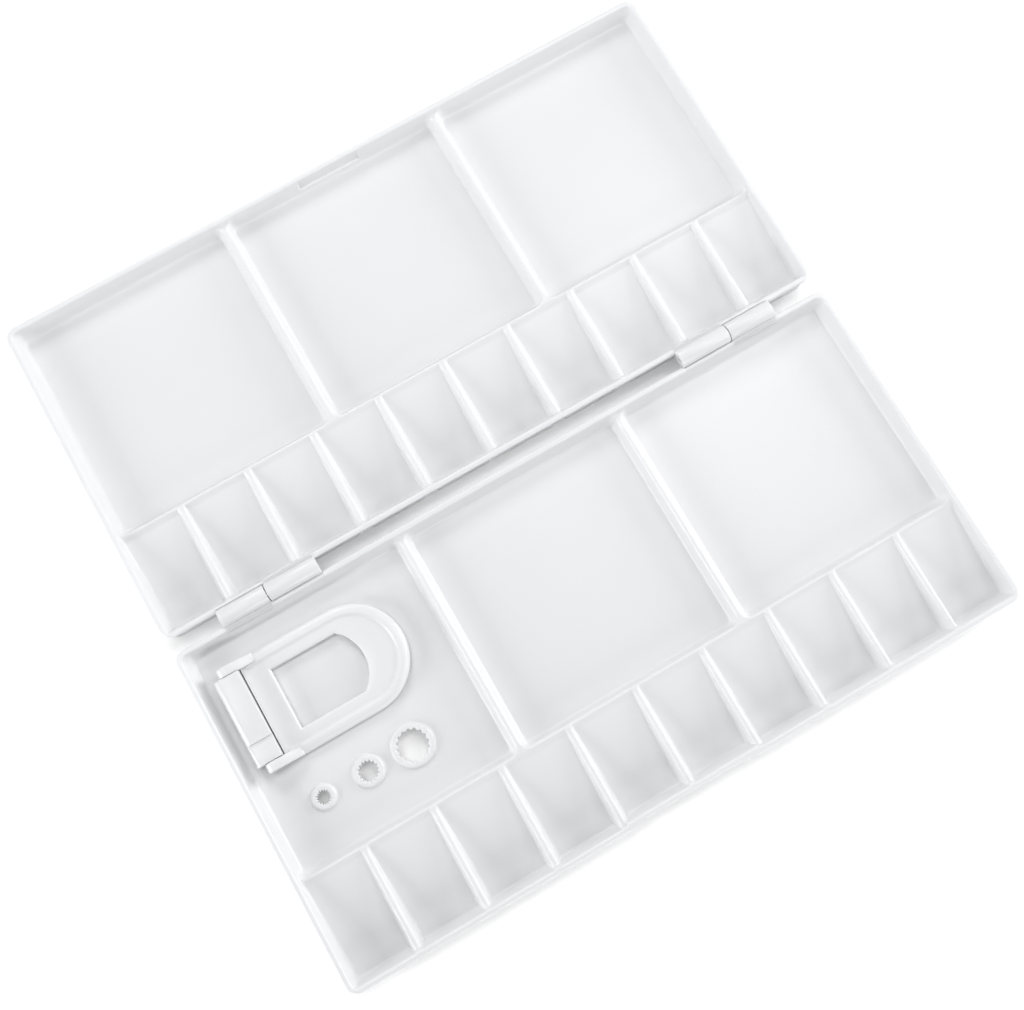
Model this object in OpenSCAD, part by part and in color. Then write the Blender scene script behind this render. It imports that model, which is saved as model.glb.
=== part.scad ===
// Folding paint palette: two shallow moulded trays joined by two pin hinges, with a swing-out thumb
// ring, its hinge block and three brush holes in the lower tray.
// Origin: on the table, under the middle of the hinge line.
// +X runs along the hinge line, +Y points to the lid tray, +Z is up. Millimetres.

/* [Trays] */
// Length of each tray along the hinge line
tray_len = 260; // [252:1:280]
// Depth of each tray across the hinge line
tray_dep = 126.8; // [124:0.2:136]
// Height of both rims above the table
rim_h = 10; // [10:0.5:12]
// Gap between the two trays' rims
hinge_gap = 5.2; // [5.0:0.1:5.6]
// Corner radius of a rim, seen from above
corner_r = 4.5; // [3.5:0.5:7]
// Width of the flat top of a rim
rim_w = 2.2; // [2:0.1:2.6]
// Overhang of the rim past the skirt below it
flange_out = 1; // [0.6:0.1:1.2]
// Thickness of the rim's overhang
flange_h = 2; // [1.6:0.1:2.4]
// Wall thickness of the moulded trays
shell_t = 1.4; // [1.2:0.1:1.6]
// Height of the rims above the tops of the dividers
divider_drop = 1.75; // [1.4:0.05:2]

/* [Mixing areas] */
// Mixing areas in each tray
mix_count = 3; // [2:1:4]
// Depth of a mixing area below the rim
mix_depth = 6.5; // [6:0.1:7]
// Width of the top of a divider between mixing areas
mix_divider_w = 2; // [1.6:0.1:3]
// Width of the slope at the foot of a mixing area's walls
mix_slope = 1.8; // [1:0.1:2.4]
// Corner radius of a mixing area, seen from above
mix_r = 3; // [2:0.5:5]

/* [Paint wells] */
// Wells in each tray
well_count = 10; // [8:1:12]
// Distance from a tray's edge to the ridge behind its wells
well_row = 39.6; // [36:0.2:44]
// Width of the top of that ridge
ridge_w = 1.2; // [1:0.1:2]
// Width of the top of a divider between wells
well_divider_w = 1.9; // [1.6:0.1:2.4]
// Depth of a well at its outer wall, below the dividers
well_deep = 5.9; // [5:0.1:6]
// Depth of a well at the ridge, below the dividers
well_shallow = 0.8; // [0.6:0.1:1.2]
// Width of the slope down from the ridge
ridge_slope = 1.3; // [1:0.1:2]
// Width of the slope at the foot of the other walls of a well
well_slope = 1.5; // [1:0.1:1.8]
// Width of the groove outside each well divider
groove_w = 5; // [4:0.5:6]
// Depth of that groove
groove_in = 1; // [0.6:0.1:1.2]

/* [Finger notch and catch] */
// Length of the notch in the front rim
notch_len = 41; // [30:1:60]
// Length of the thicker rim behind the notch
catch_len = 50; // [40:1:70]
// Inward step of that thicker rim
catch_in = 1.1; // [0.8:0.1:1.4]
// Length of the recess in the lid tray's far wall
recess_len = 25; // [20:1:34]

/* [Tray hinges] */
// Distance from the middle to the inner end of a hinge
hinge_in = 72.2; // [66:0.2:76]
// Length of the lid tray's knuckle
lid_knuckle_len = 19.4; // [16:0.2:20]
// Length of the lower tray's knuckle
base_knuckle_len = 17.8; // [16:0.2:19]
// Gap between the two knuckles
knuckle_gap = 0.4; // [0.3:0.05:0.6]
// Knuckle diameter
knuckle_d = 6.5; // [6:0.1:7]
// Steel pin diameter, in the tray hinges and in the ring's hinge
pin_d = 2; // [1.6:0.1:2.2]

/* [Thumb ring] */
// Distance of the ring's hinge axis from the outer edge of the rim
ring_axis_in = 13; // [12.8:0.1:13.4]
// Height of that axis above the floor
ring_axis_up = 4; // [3.9:0.1:4.2]
// Distance of the ring's centre line from the hinge line
ring_centre = 34.1; // [33:0.1:38]
// Width of the ring, measured along its hinge
ring_w = 39; // [38:0.5:42]
// Distance from the hinge axis to the far end of the ring
ring_reach = 58.6; // [54:0.2:60]
// Distance from the hinge axis to the ring's hinge-side edge
ring_start = 4.6; // [4.6:0.1:5]
// Thickness of the ring's flat web
web_t = 2.5; // [2:0.1:2.8]
// Width of the raised band round the ring
band_w = 3.3; // [2.8:0.1:3.8]
// Height of the band above the web's underside
band_t = 3.75; // [3.4:0.05:3.8]
// Width of the thumb opening
thumb_w = 22.5; // [20:0.5:24]
// Distance from the hinge axis to the start of the thumb opening
thumb_start = 13.5; // [13:0.1:14]
// Length of the straight sides of the thumb opening
thumb_straight = 24.5; // [22:0.5:26]
// Bulge of the rounded end of the thumb opening
thumb_bulge = 5.5; // [4:0.5:7]

/* [Brush holes] */
// Distance between the centres of neighbouring brush holes
brush_pitch = 17.05; // [16.5:0.05:18]
// Distance of the brush holes from the hinge line
brush_row = 69; // [67:0.5:74]
// Distance of the first brush hole from the outer edge of the rim
brush_in = 21.8; // [20:0.2:23]
// Diameter of the small brush hole, at the roots of its teeth
brush_small = 5; // [4:0.1:5.4]
// Diameter of the middle brush hole
brush_mid = 7.3; // [6.4:0.1:7.6]
// Diameter of the large brush hole
brush_large = 11.5; // [10:0.1:11.8]
// Height of the raised collar round each hole
collar_h = 1; // [0.6:0.1:1.4]

/* [Hidden] */
$fn = 64;
nudge = 0.01;                 // extra length that carries a cut through a face
pin_play = 0.05;              // radial clearance of every pin in its bore
pin_end_gap = 0.3;            // clearance at each end of a pin
relief = 0.4;                 // radial clearance round a knuckle in the other tray's rim
side_play = 0.25;             // clearance at each end of the hinge block and beside each knuckle
blind_t = 1.6;                // material left beyond the blind end of a knuckle's bore

half_len = tray_len / 2;
divider_z = rim_h - divider_drop;
floor_z = rim_h - mix_depth;
mix_pitch = tray_len / mix_count;
well_pitch = tray_len / well_count;
ridge_near = well_row - ridge_w / 2;
ridge_far = well_row + ridge_w / 2;
skirt_in = flange_out + shell_t;
mix_core_half = 1.3;          // half the width of the hollow under a mixing divider, at its foot
well_core_half = 1;           // the same under a well divider
groove_wall = skirt_in + groove_in;

knuckle_r = knuckle_d / 2;
pin_r = pin_d / 2;
lid_knuckle_end = hinge_in + lid_knuckle_len;
base_knuckle_start = lid_knuckle_end + knuckle_gap;
base_knuckle_end = base_knuckle_start + base_knuckle_len;

axis_x = ring_axis_in - half_len;
axis_z = floor_z + ring_axis_up;
ring_r = ring_w / 2;
ring_end_centre = ring_reach - ring_r;
web_drop = 3.5;               // from the hinge axis down to the underside of the ring
web_z = axis_z - web_drop;
arm_t = 3.2;                  // thickness of each arm beside the hinge block
arm_r = 2.8;                  // radius of an arm's rounded end
arm_len = 10.5;               // from the hinge axis to where an arm has run down to the band
arm_crest = 3;                // from the hinge axis to where the arm's top starts to fall
arm_dip = 0.3;                // how far it has sunk there already
arm_heel = 5;                 // from the hinge axis to where the arm's underside is level
block_half = ring_r - arm_t - side_play;
block_left = 5.5;             // from the hinge axis to the hinge block's wall-side face
block_right = 3.8;            // from the hinge axis to its ring-side face
block_chamfer = 3;            // chamfer that clears the ring when it is swung out
arm_skin = 1;                 // material left outside the blind ends of the ring's bore
ring_bore_half = ring_r - arm_skin;
ring_pin_half = ring_bore_half - pin_end_gap;

tooth_count = 16;
tooth_in = 0.5;               // depth of the teeth round a brush hole
collar_w = 1.75;              // width of the collar round a brush hole

white = [0.95, 0.955, 0.96];
steel = [0.72, 0.73, 0.75];

// Draw a section (across, up) and run it along X, centred.
module along_x(len) {
  translate([-len / 2, 0, 0])
    rotate([90, 0, 90])
      linear_extrude(len)
        children();
}

// Draw a section (along X, up) and run it along Y from y = 0.
module along_y(dep) {
  translate([0, dep, 0])
    rotate([90, 0, 0])
      linear_extrude(dep)
        children();
}

// Rectangle with rounded corners, centred on x, from y = 0.
module rounded_rect(len, dep, r) {
  translate([-len / 2 + r, 0])
    square([len - 2 * r, dep]);
  translate([-len / 2, r])
    square([len, dep - 2 * r]);
  for (x = [r - len / 2, len / 2 - r], y = [r, dep - r])
    translate([x, y])
      circle(r);
}

// A pocket's section: straight above z = 0, sloping in by run over its depth.
module sloped_section(from, to, depth, run) {
  polygon([
    [from, rim_h],
    [from, 0],
    [from + run, -depth],
    [to - run, -depth],
    [to, 0],
    [to, rim_h]
  ]);
}

// ---- cuts shared by both trays; a tray's edge with the wells lies on y = 0 ----

// Mixing area number i, from the ridge to the far wall.
module mixing_area(i) {
  first = i == 0;
  last = i == mix_count - 1;
  left = i * mix_pitch - half_len + (first ? rim_w : mix_divider_w / 2);
  right = (i + 1) * mix_pitch - half_len - (last ? rim_w : mix_divider_w / 2);
  len = right - left;
  far = tray_dep - rim_w;
  depth = mix_depth - divider_drop;
  translate([(left + right) / 2, 0, divider_z])
    intersection() {
      along_y(tray_dep)
        sloped_section(-len / 2, len / 2, depth, mix_slope);
      along_x(len)
        sloped_section(ridge_far, far, depth, mix_slope);
      translate([0, ridge_far, -depth])
        linear_extrude(rim_h)
          rounded_rect(len, far - ridge_far, mix_r);
    }
}

// Paint well number i: its floor runs down from the ridge to the outer wall.
module well(i) {
  first = i == 0;
  last = i == well_count - 1;
  left = i * well_pitch - half_len + (first ? rim_w : well_divider_w / 2);
  right = (i + 1) * well_pitch - half_len - (last ? rim_w : well_divider_w / 2);
  len = right - left;
  translate([(left + right) / 2, 0, divider_z])
    intersection() {
      along_y(tray_dep)
        sloped_section(-len / 2, len / 2, well_deep, well_slope);
      along_x(len)
        polygon([
          [rim_w, divider_drop + nudge],
          [rim_w, 0],
          [rim_w + well_slope, -well_deep],
          [ridge_near - ridge_slope, -well_shallow],
          [ridge_near, 0],
          [ridge_near, divider_drop + nudge]
        ]);
    }
}

// Hollow under a divider: a narrow trapezoid that runs along Y.
module divider_core(from, to, foot_half, bottom) {
  top_half = foot_half / 3;
  top = divider_z - shell_t;
  translate([0, from, 0])
    along_y(to - from)
      polygon([[-foot_half, bottom], [-top_half, top], [top_half, top], [foot_half, bottom]]);
}

// Everything hollow under a tray.
module underside() {
  inner_len = tray_len - 2 * skirt_in;
  far = tray_dep - skirt_in;
  mix_ceiling = floor_z - shell_t;
  deep_ceiling = divider_z - well_deep - shell_t;
  ridge_ceiling = divider_z - well_shallow - shell_t;
  translate([0, ridge_far, -nudge])
    linear_extrude(mix_ceiling + nudge)
      rounded_rect(inner_len, far - ridge_far, corner_r - shell_t);
  along_x(inner_len)
    polygon([
      [groove_wall, -nudge],
      [groove_wall, deep_ceiling],
      [ridge_near - ridge_slope, ridge_ceiling],
      [ridge_far - shell_t, ridge_ceiling],
      [ridge_far - shell_t + mix_slope, -nudge]
    ]);
  for (i = [1 : mix_count - 1])
    translate([i * mix_pitch - half_len, 0, 0])
      divider_core(ridge_far, far - shell_t, mix_core_half, mix_ceiling - nudge);
  for (i = [1 : well_count - 1])
    translate([i * well_pitch - half_len, 0, 0])
      divider_core(groove_wall + shell_t, ridge_near - ridge_slope, well_core_half, 0);
}

// One moulded tray without hinges, its edge with the wells on y = 0.
module tray() {
  inner_len = tray_len - 2 * rim_w;
  difference() {
    union() {
      translate([0, flange_out, 0])
        linear_extrude(rim_h)
          rounded_rect(tray_len - 2 * flange_out, tray_dep - 2 * flange_out, corner_r - flange_out);
      translate([0, 0, rim_h - flange_h])
        linear_extrude(flange_h)
          rounded_rect(tray_len, tray_dep, corner_r);
    }
    translate([0, rim_w, divider_z])
      linear_extrude(rim_h)
        rounded_rect(inner_len, tray_dep - 2 * rim_w, corner_r - rim_w);
    for (i = [0 : mix_count - 1])
      mixing_area(i);
    for (i = [0 : well_count - 1])
      well(i);
    underside();
    for (i = [1 : well_count - 1])
      translate([i * well_pitch - half_len - groove_w / 2, 0, -nudge])
        cube([groove_w, skirt_in - shell_t + groove_in, rim_h - flange_h + nudge]);
  }
}

// ---- hinges between the trays ----

// A knuckle on the +X hinge; side is 1 when it belongs to the lid tray, -1 for the lower tray.
module knuckle(start, len, side) {
  leaf = hinge_gap / 2 + skirt_in;
  translate([start, 0, rim_h])
    rotate([0, 90, 0])
      cylinder(h = len, r = knuckle_r);
  translate([start, side > 0 ? 0 : -leaf, rim_h - knuckle_r])
    cube([len, leaf, knuckle_r]);
}

// The space that a knuckle of the other tray turns in.
module knuckle_room(start, len) {
  translate([start - side_play, 0, rim_h])
    rotate([0, 90, 0])
      cylinder(h = len + 2 * side_play, r = knuckle_r + relief);
}

// The pin bore through both knuckles of the +X hinge, blind at its outer end.
module hinge_bore() {
  translate([hinge_in - side_play, 0, rim_h])
    rotate([0, 90, 0])
      cylinder(h = base_knuckle_end - hinge_in + side_play - blind_t, r = pin_r + pin_play);
}

// Do the same on both hinges.
module both_hinges() {
  children();
  mirror([1, 0, 0])
    children();
}

module hinge_pin() {
  translate([hinge_in + pin_end_gap, 0, rim_h])
    rotate([0, 90, 0])
      cylinder(h = base_knuckle_end - hinge_in - blind_t - 2 * pin_end_gap, r = pin_r);
}

// ---- features of the lower tray ----

// Outline of a brush hole with pointed teeth.
module toothed_hole(d) {
  steps = 2 * tooth_count;
  polygon([
    for (i = [0 : steps - 1])
      (d / 2 - (i % 2) * tooth_in) * [cos(360 * i / steps), sin(360 * i / steps)]
  ]);
}

// Place children at each brush hole, with its diameter in hole_d.
module at_brush_holes() {
  sizes = [brush_small, brush_mid, brush_large];
  for (i = [0 : len(sizes) - 1]) {
    $hole_d = sizes[i];
    translate([brush_in - half_len + i * brush_pitch, -brush_row, 0])
      children();
  }
}

module brush_collars() {
  at_brush_holes()
    translate([0, 0, floor_z - nudge])
      cylinder(h = collar_h + nudge, r = $hole_d / 2 + collar_w);
}

module brush_cuts() {
  at_brush_holes()
    linear_extrude(rim_h)
      toothed_hole($hole_d);
}

// Thicker rim behind the finger notch.
module catch_rail() {
  rail_h = 3;
  translate([-catch_len / 2, rim_w - nudge, rim_h - rail_h])
    cube([catch_len, catch_in + nudge, rail_h]);
}

module finger_notch() {
  translate([-notch_len / 2, -nudge, rim_h - flange_h - nudge])
    cube([notch_len, flange_out + nudge, flange_h + 2 * nudge]);
}

module lower_tray() {
  front = -hinge_gap / 2 - tray_dep;
  color(white)
    difference() {
      union() {
        translate([0, front, 0])
          tray();
        translate([0, front, 0])
          catch_rail();
        both_hinges()
          knuckle(base_knuckle_start, base_knuckle_len, -1);
        brush_collars();
      }
      translate([0, front, 0])
        finger_notch();
      both_hinges()
        knuckle_room(hinge_in, lid_knuckle_len);
      both_hinges()
        hinge_bore();
      brush_cuts();
    }
}

// ---- features of the lid tray ----

// Shallow recess in the far wall, which the catch rail snaps into.
module catch_recess() {
  above_floor = 1.5;
  below_dividers = 0.5;
  reach = 2.3;
  recess_z = floor_z + above_floor;
  translate([-recess_len / 2, tray_dep - skirt_in - reach, recess_z])
    cube([recess_len, reach, divider_z - below_dividers - recess_z]);
}

module upper_tray() {
  color(white)
    difference() {
      union() {
        translate([0, hinge_gap / 2, 0])
          tray();
        both_hinges()
          knuckle(hinge_in, lid_knuckle_len, 1);
      }
      translate([0, hinge_gap / 2, 0])
        catch_recess();
      both_hinges()
        knuckle_room(base_knuckle_start, base_knuckle_len);
      both_hinges()
        hinge_bore();
    }
}

module left_hinge_pin() {
  color(steel)
    mirror([1, 0, 0])
      hinge_pin();
}

module right_hinge_pin() {
  color(steel)
    hinge_pin();
}

// ---- thumb ring and its hinge; drawn with the hinge axis on the Y axis, then moved into place ----

module at_ring_axis() {
  translate([axis_x, -ring_centre, 0])
    children();
}

// A round bar or bore along the ring's hinge axis.
module axis_bar(half, r) {
  translate([0, -half, axis_z])
    rotate([-90, 0, 0])
      cylinder(h = 2 * half, r = r);
}

// Block that stands on the tray's floor between the ring's two arms.
module ring_bar() {
  notch_from = 8.2;
  notch_to = 12;
  notch_deep = 1.1;
  end_drop = 0.3;
  color(white)
    at_ring_axis()
      difference() {
        translate([0, -block_half, 0])
          along_y(2 * block_half)
            polygon([
              [-block_left, floor_z],
              [-block_left, rim_h - block_chamfer],
              [block_chamfer - block_left, rim_h],
              [block_right, rim_h],
              [block_right, floor_z]
            ]);
        along_x(4 * block_left)
          polygon([
            [-notch_from, rim_h + nudge],
            [-notch_from, rim_h - notch_deep],
            [-notch_to, rim_h - end_drop],
            [-ring_r, rim_h - end_drop],
            [-ring_r, rim_h + nudge]
          ]);
        axis_bar(ring_r, pin_r + pin_play);
      }
}

// Outline of the ring plate, inset by a margin from its sides and round end.
module ring_plan(inset) {
  translate([ring_start, inset - ring_r])
    square([ring_end_centre - ring_start, ring_w - 2 * inset]);
  translate([ring_end_centre, 0])
    circle(ring_r - inset);
}

// Thumb opening: straight sides with a shallow arc across the far end.
module thumb_opening() {
  arc_x = thumb_start + thumb_straight;
  arc_r = (pow(thumb_w / 2, 2) + pow(thumb_bulge, 2)) / (2 * thumb_bulge);
  translate([thumb_start, -thumb_w / 2])
    square([thumb_straight, thumb_w]);
  intersection() {
    translate([arc_x + thumb_bulge - arc_r, 0])
      circle(arc_r);
    translate([arc_x - nudge, -thumb_w / 2])
      square([thumb_bulge + 2 * nudge, thumb_w]);
  }
}

// Side view of an arm, from its rounded end down to the band.
module arm_section() {
  translate([0, axis_z])
    circle(arm_r);
  polygon([
    [0, axis_z - arm_r],
    [0, axis_z + arm_r],
    [arm_crest, axis_z + arm_r - arm_dip],
    [arm_len, web_z + band_t],
    [arm_len, web_z],
    [arm_heel, web_z]
  ]);
}

module thumb_ring() {
  color(white)
    at_ring_axis()
      difference() {
        union() {
          translate([0, 0, web_z])
            linear_extrude(web_t)
              ring_plan(0);
          translate([0, 0, web_z])
            linear_extrude(band_t)
              difference() {
                ring_plan(0);
                translate([-nudge, 0])
                  ring_plan(band_w);
              }
          for (y = [-ring_r, ring_r - arm_t])
            translate([0, y, 0])
              along_y(arm_t)
                arm_section();
        }
        linear_extrude(2 * rim_h)
          thumb_opening();
        axis_bar(ring_bore_half, pin_r + pin_play);
      }
}

module ring_pivot_pin() {
  color(steel)
    at_ring_axis()
      axis_bar(ring_pin_half, pin_r);
}

lower_tray();
upper_tray();
left_hinge_pin();
right_hinge_pin();
ring_bar();
thumb_ring();
ring_pivot_pin();
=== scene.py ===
"""Folding paint palette: smooth moulded trays, thumb ring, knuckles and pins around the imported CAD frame.

Lengths in this file are millimetres; to_object() turns them into metres. Depths run down from the rim.
A tray is a thin shell over a grid: u runs along the tray, v runs away from its edge beside the wells.
"""

import math

import bmesh
import bpy
import numpy as np
from mathutils import Matrix, Vector


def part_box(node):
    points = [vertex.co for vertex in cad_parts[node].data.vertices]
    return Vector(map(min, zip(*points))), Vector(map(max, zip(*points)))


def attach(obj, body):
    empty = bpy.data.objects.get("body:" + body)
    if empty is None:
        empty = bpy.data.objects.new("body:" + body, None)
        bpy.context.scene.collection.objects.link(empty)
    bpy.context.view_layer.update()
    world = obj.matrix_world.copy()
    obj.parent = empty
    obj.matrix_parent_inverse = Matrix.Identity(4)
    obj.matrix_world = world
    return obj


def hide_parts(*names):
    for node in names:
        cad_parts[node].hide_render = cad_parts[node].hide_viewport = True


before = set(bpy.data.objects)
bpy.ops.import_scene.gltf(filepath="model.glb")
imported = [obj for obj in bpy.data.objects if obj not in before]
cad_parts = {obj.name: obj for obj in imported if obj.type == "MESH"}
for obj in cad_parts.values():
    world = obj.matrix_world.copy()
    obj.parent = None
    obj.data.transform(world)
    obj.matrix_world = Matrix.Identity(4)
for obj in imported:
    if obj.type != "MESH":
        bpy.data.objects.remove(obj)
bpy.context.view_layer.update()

MM = 0.001


def box_mm(node):
    """Low and high corner of a CAD node's box, in millimetres."""
    low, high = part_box(node)
    return np.array(low) / MM, np.array(high) / MM


lower_low, lower_high = box_mm("lower_tray")
ring_low, ring_high = box_mm("thumb_ring")
bar_low, bar_high = box_mm("ring_bar")

# ---- trays ----

HALF_LEN = lower_high[0]
KNUCKLE_R = lower_high[1]
RIM_H = lower_high[2] - KNUCKLE_R
HINGE_GAP = 5.2
TRAY_DEP = -lower_low[1] - HINGE_GAP / 2
CORNER_R = 4.5
RIM_W = 2.2
RIM_ROUND = 0.8
FLANGE_OUT = 1.0        # how far the flange under the rim stands out from the outer wall
FLANGE_H = 2.0
SHELL_T = 1.4
DIVIDER_DROP = 1.75     # depth of the divider tops below the rim
WALL_SLOPE = 3.4        # drop per millimetre of the trays' inner walls
NEAR_WALL_RUN = 1.3     # run of the wall between the rim and the foot of the wells
LIP = DIVIDER_DROP / WALL_SLOPE
END_EDGE = HALF_LEN - RIM_W
FAR_EDGE = TRAY_DEP - RIM_W

MIX_COUNT = 3
MIX_DEPTH = 6.5
MIX_DIVIDER_HALF = 1.0
MIX_SLOPE = 3.1
MIX_CORNER_R = 3.2

WELL_COUNT = 10
WELL_ROW = 39.6         # v of the ridge between the wells and the mixing areas
RIDGE_HALF = 0.6
RIDGE_SLOPE = 1.2
WELL_DIVIDER_HALF = 0.95
WELL_SLOPE = 3.4
WELL_CORNER_R = 2.2
WELL_DEEP = 5.7
WELL_SHALLOW = 0.7
WELL_DISH = 0.25

# Widths over which two surfaces run into one another.
FOOT_BLEND = 1.5
WELL_FOOT_BLEND = 1.0
EDGE_BLEND = 0.9
DIVIDER_BLEND = 1.7

UNDER_GROW = 1.25       # how much wider a pocket is on the underside
UNDER_IN = 2.4          # inset of the underside from the rim
UNDER_CORNER_R = 2.4
UNDER_LOWEST = 0.5      # least height of the underside over the ground
UNDER_FADE = 6.0
FLANGE_FADE = 1.9
BEYOND = 1000.0         # stands for a pocket side that has no wall

GROOVE_HALF = 2.5       # steps in the wells' outer wall, outside each divider
GROOVE_IN = 1.0
GROOVE_SOFT = 0.6
NOTCH_HALF = 20.5       # finger notch in the lower tray's flange
CATCH_HALF = 25.0       # rail inside the lower tray's near wall
CATCH_IN = 1.1
RECESS_HALF = 12.5      # recess in the lid's far wall
RECESS_DEEP = 4.4
RECESS_REACH = 3.0
RECESS_SLOPE = 9.0

# ---- hinges between the trays ----

LID_KNUCKLE = (72.2, 91.6)
BASE_KNUCKLE = (92.0, 109.8)
KNUCKLE_ROOM = 0.8
KNUCKLE_SOFT = 0.14
KNUCKLE_BLIND = 1.6
LEAF_START = 0.6
LEAF_BEVEL = 0.3
PIN_R = 1.0
PIN_PLAY = 0.05
PIN_SOFT = 0.2

# ---- brush holes: (x, radius) along one row ----

BRUSH_ROW = -69.0
BRUSH_HOLES = [(-108.2, 2.5), (-91.15, 3.65), (-74.1, 5.75)]
TOOTH_COUNT = 16
TOOTH_IN = 0.5
TOOTH_FLANK = 1.7
COLLAR_W = 1.75
COLLAR_H = 1.0
HOLE_MARGIN = COLLAR_W + 1.2
HOLE_ROW_HALF = max(r for _, r in BRUSH_HOLES) + COLLAR_W + 1.6

# ---- thumb ring and its hinge; x runs from the ring's axis and y from its middle ----

AXIS_X = -117.0
AXIS_Z = 7.5
RING_Y = (ring_low[1] + ring_high[1]) / 2
RING_R = (ring_high[1] - ring_low[1]) / 2
RING_PLAY = 0.05
RING_START = 4.6
RING_END_CENTRE = ring_high[0] - AXIS_X - RING_R
WEB_Z = ring_low[2] - 0.25
WEB_T = 2.75
BAND_T = 3.4            # height of the raised band over the ring's underside
BAND_W = 4.3
BAND_OUTER = 2.9        # width of the band's rounded outer shoulder
BAND_INNER = 1.1        # width of its slope down to the web
BAND_EDGE = 1.3         # height of the plate's outer edge
BAND_FROM = 5.4         # x where the band begins to rise
BAND_RISE = 1.8
RING_HEEL = 0.3         # how far the plate's hinge side bulges towards the bar
THUMB_HALF = 11.25
THUMB_START = 13.5
THUMB_STRAIGHT = 24.5
THUMB_BULGE = 5.5
THUMB_FLARE = 0.6

ARM_T = 3.2
ARM_R = 2.75
ARM_BEVEL = 0.35

BAR_RIGHT = 4.15
BAR_SHOULDER = 3.0
BAR_BEVEL = 0.3
BAR_STEP_Y = RING_Y - 8.2
BAR_FOOT_Y = RING_Y - 12.0
BAR_STEP_DROP = 1.1
BAR_FOOT_DROP = 0.3

# ---- how finely things are divided ----

# Distances from an edge, a divider, the ridge or a step at which a tray gets a grid line.
EDGE_LINES = [
    0.02, 0.07, 0.16, 0.3, 0.5, 0.8, 1.2, 1.7, 1.95, 2.1, 2.25,
    2.5, 2.85, 3.2, 3.45, 3.65, 3.9, 4.15, 4.4, 4.8, 5.5,
]
DIVIDER_LINES = [
    0.0, 0.4, 0.65, 0.8, 0.95, 1.15, 1.5, 1.9, 2.2, 2.4, 2.6, 2.8, 3.0, 3.3, 3.8, 4.6, 5.9,
]
RIDGE_LINES = [0.0, 0.4, 0.6, 0.8, 1.1, 1.5, 1.9, 2.3, 2.8, 3.6, 5.0]
STEP_LINES = [0.0, 0.2, 0.4, 0.7]
COARSE = 3.0
CLOSEST = 0.06

# Grid lines this far from a divider's top are pulled onto the foot of its wall; the pull ends at FOOT_REACH.
FOOT_LINE = 1.7
FOOT_REACH = 5.0

# Insets of the loops across the ring's band.
BAND_LOOPS = [
    0.0, 0.05, 0.15, 0.3, 0.5, 0.75, 1.05, 1.4, 1.8, 2.3, 2.8, 3.1, 3.4, 3.7, 4.0, 4.3, 4.6,
]
SIDE_POINTS = 26
ARC_POINTS = 72
START_POINTS = 44


# ---- small helpers ----

def smooth_min(a, b, blend):
    """The smaller of two heights, rounded over where they meet."""
    t = np.clip(0.5 + 0.5 * (b - a) / blend, 0, 1)
    return b * (1 - t) + a * t - blend * t * (1 - t)


def smooth_max(a, b, blend):
    return -smooth_min(-a, -b, blend)


def smooth_step(value, start, end):
    t = np.clip((value - start) / (end - start), 0, 1)
    return t * t * (3 - 2 * t)


def inside_band(x, half, soft=0.8):
    """1 for |x| below half, falling smoothly to 0 over a soft edge."""
    return 1 - smooth_step(np.abs(x), half - soft / 2, half + soft / 2)


def between(x, start, end):
    """1 where |x| lies between start and end."""
    return inside_band(x, end) * (1 - inside_band(x, start))


def both_signs(values):
    return [sign * value for value in values for sign in (-1, 1)]


def to_object(name, verts, faces, sharp_deg):
    """Mesh object from millimetre vertices, smooth shaded except at sharp edges."""
    mesh = bpy.data.meshes.new(name)
    mesh.from_pydata([tuple(v) for v in np.asarray(verts) * MM], [], faces)
    mesh.validate()
    mesh.shade_smooth()
    mesh.set_sharp_from_angle(angle=math.radians(sharp_deg))
    piece = bpy.data.objects.new(name, mesh)
    bpy.context.scene.collection.objects.link(piece)
    return piece


def outward(piece):
    """Turn every closed shell of a piece so that its faces point outwards."""
    shell = bmesh.new()
    shell.from_mesh(piece.data)
    bmesh.ops.recalc_face_normals(shell, faces=shell.faces)
    shell.to_mesh(piece.data)
    shell.free()
    return piece


def finished_piece(name, shell, body, node, sharp_deg):
    """Object of a closed shell that rides a body and stands for a CAD node."""
    verts, faces = shell
    piece = outward(to_object(name, verts, faces, sharp_deg))
    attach(piece, body)
    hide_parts(node)
    return piece


def merge(parts):
    """Join several closed solids into one list of vertices and faces."""
    verts, faces = [], []
    for part_verts, part_faces in parts:
        base = len(verts)
        verts.extend(part_verts)
        faces.extend([[base + i for i in face] for face in part_faces])
    return verts, faces


def loop_quads(lower, upper):
    """Faces between two closed loops of equally many vertices."""
    count = len(lower)
    return [
        [lower[k], lower[(k + 1) % count], upper[(k + 1) % count], upper[k]] for k in range(count)
    ]


def bevelled_loft(loops, bevel, sharp_deg):
    """Closed solid through a row of loops of points, with its sharp edges rounded."""
    solid = bmesh.new()
    rings = [[solid.verts.new(point) for point in loop] for loop in loops]
    solid.faces.new(rings[0])
    solid.faces.new(rings[-1][::-1])
    for a, b in zip(rings, rings[1:]):
        for i in range(len(a)):
            j = (i + 1) % len(a)
            solid.faces.new([a[i], b[i], b[j], a[j]])
    bmesh.ops.remove_doubles(solid, verts=solid.verts, dist=0.001)
    bmesh.ops.recalc_face_normals(solid, faces=solid.faces)
    sharp = [e for e in solid.edges if e.calc_face_angle(0) > math.radians(sharp_deg)]
    bmesh.ops.bevel(
        solid, geom=sharp, offset=bevel, segments=3, affect="EDGES", profile=0.5, clamp_overlap=True,
    )
    solid.verts.index_update()
    verts = [tuple(v.co) for v in solid.verts]
    faces = [[v.index for v in f.verts] for f in solid.faces]
    solid.free()
    return verts, faces


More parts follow.
